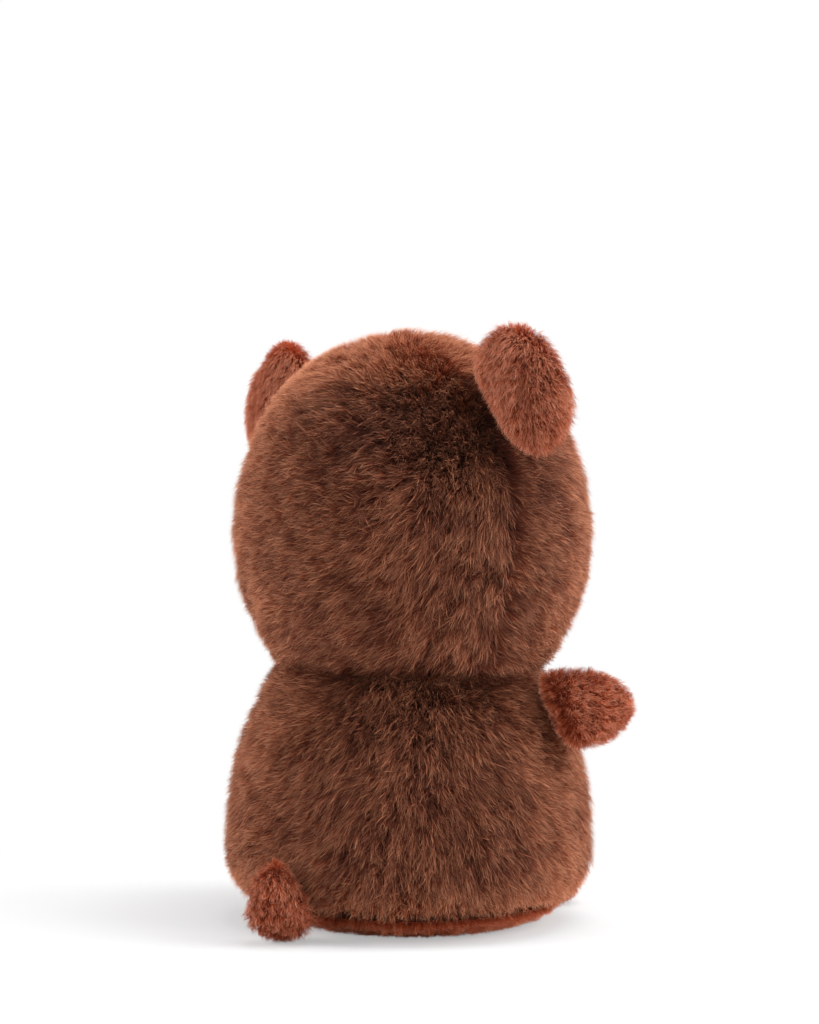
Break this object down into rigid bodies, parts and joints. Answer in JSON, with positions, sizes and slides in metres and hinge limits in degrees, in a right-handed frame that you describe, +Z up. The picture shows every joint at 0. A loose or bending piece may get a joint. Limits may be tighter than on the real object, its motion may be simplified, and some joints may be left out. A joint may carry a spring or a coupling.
{
  "type": "seated plush bear",
  "caption": "Small seated plush bear in long brown pile with rust ears, arms, feet, tail and base, soft-jointed at the neck, ears, arms and tail.",
  "frame": {"origin": "middle of the flat underside of the base panel, on which the bear sits", "axes": "+Z up from the base to the crown, +X towards the bear's own left, -Y the way its belly faces, the tail at +Y; at rest the head is turned 7 degrees towards the bear's own right"},
  "size_m": [0.1165, 0.1065, 0.1461],
  "materials": {
    "brown_pile": "long brushed plush pile, chocolate brown with lighter tips",
    "rust_pile": "short clumped plush pile, rust",
    "fibrefill": "loose white polyester fibre",
    "calico": "plain woven cotton bag cloth",
    "pellets": "small round pellets",
    "eye_plastic": "polished black",
    "washer_plastic": "moulded natural white",
    "dark_thread": "satin stitch embroidery thread"
  },
  "bodies": {
    "body": {"back_panel_left": "brown_pile", "back_panel_right": "brown_pile", "belly_panel": "brown_pile", "base_panel": "rust_pile", "body_stuffing": "fibrefill", "pellet_bag_top": "calico", "pellet_bag_bottom": "calico", "pellet_fill": "pellets", "left_foot_cover": "rust_pile", "left_foot_stuffing": "fibrefill", "right_foot_cover": "rust_pile", "right_foot_stuffing": "fibrefill"},
    "neck": {"neck_stuffing": "fibrefill"},
    "head": {"head_back_left": "brown_pile", "head_back_right": "brown_pile", "face_panel": "brown_pile", "head_stuffing": "fibrefill", "muzzle_cover": "rust_pile", "muzzle_stuffing": "fibrefill", "nose_embroidery": "dark_thread", "mouth_stitches": "dark_thread", "left_eye": "eye_plastic", "right_eye": "eye_plastic", "left_eye_washer": "washer_plastic", "right_eye_washer": "washer_plastic"},
    "left_ear": {"left_ear_back": "rust_pile", "left_ear_front": "rust_pile"},
    "right_ear": {"right_ear_back": "rust_pile", "right_ear_front": "rust_pile"},
    "left_arm": {"left_arm_back": "rust_pile", "left_arm_front": "rust_pile", "left_arm_stuffing": "fibrefill"},
    "right_arm": {"right_arm_back": "rust_pile", "right_arm_front": "rust_pile", "right_arm_stuffing": "fibrefill"},
    "tail": {"tail_left_panel": "rust_pile", "tail_right_panel": "rust_pile", "tail_stuffing": "fibrefill"}
  },
  "joints": [
    {"name": "head_turn", "type": "hinge", "parent": "body", "child": "neck", "pos_m": [0, 0, 0.062], "axis": [0, 0, 1], "range_deg": [-20, 20], "stiffness_Nm_per_rad": 0.2},
    {"name": "head_nod", "type": "hinge", "parent": "neck", "child": "head", "pos_m": [0, 0, 0.062], "axis": [0.9925, -0.1219, 0], "range_deg": [-8, 8], "stiffness_Nm_per_rad": 0.5},
    {"name": "left_ear_fold", "type": "hinge", "parent": "head", "child": "left_ear", "pos_m": [0.04197, 0.00341, 0.12779], "axis": [-0.5305, 0.1179, 0.8394], "range_deg": [-30, 30], "stiffness_Nm_per_rad": 0.02},
    {"name": "right_ear_fold", "type": "hinge", "parent": "head", "child": "right_ear", "pos_m": [-0.03989, 0.01346, 0.12779], "axis": [-0.5433, 0.014, -0.8394], "range_deg": [-30, 30], "stiffness_Nm_per_rad": 0.02},
    {"name": "left_arm_swing", "type": "hinge", "parent": "body", "child": "left_arm", "pos_m": [0.04514, -0.00671, 0.05381], "axis": [-0.2938, 0.2506, 0.9224], "range_deg": [-35, 55], "stiffness_Nm_per_rad": 0.03},
    {"name": "right_arm_swing", "type": "hinge", "parent": "body", "child": "right_arm", "pos_m": [-0.04514, -0.00671, 0.05381], "axis": [0.2938, 0.2506, 0.9224], "range_deg": [-55, 35], "stiffness_Nm_per_rad": 0.03},
    {"name": "tail_wag", "type": "hinge", "parent": "body", "child": "tail", "pos_m": [0, 0.04735, 0.0104], "axis": [0, 0, 1], "range_deg": [-30, 30], "stiffness_Nm_per_rad": 0.02}
  ]
}
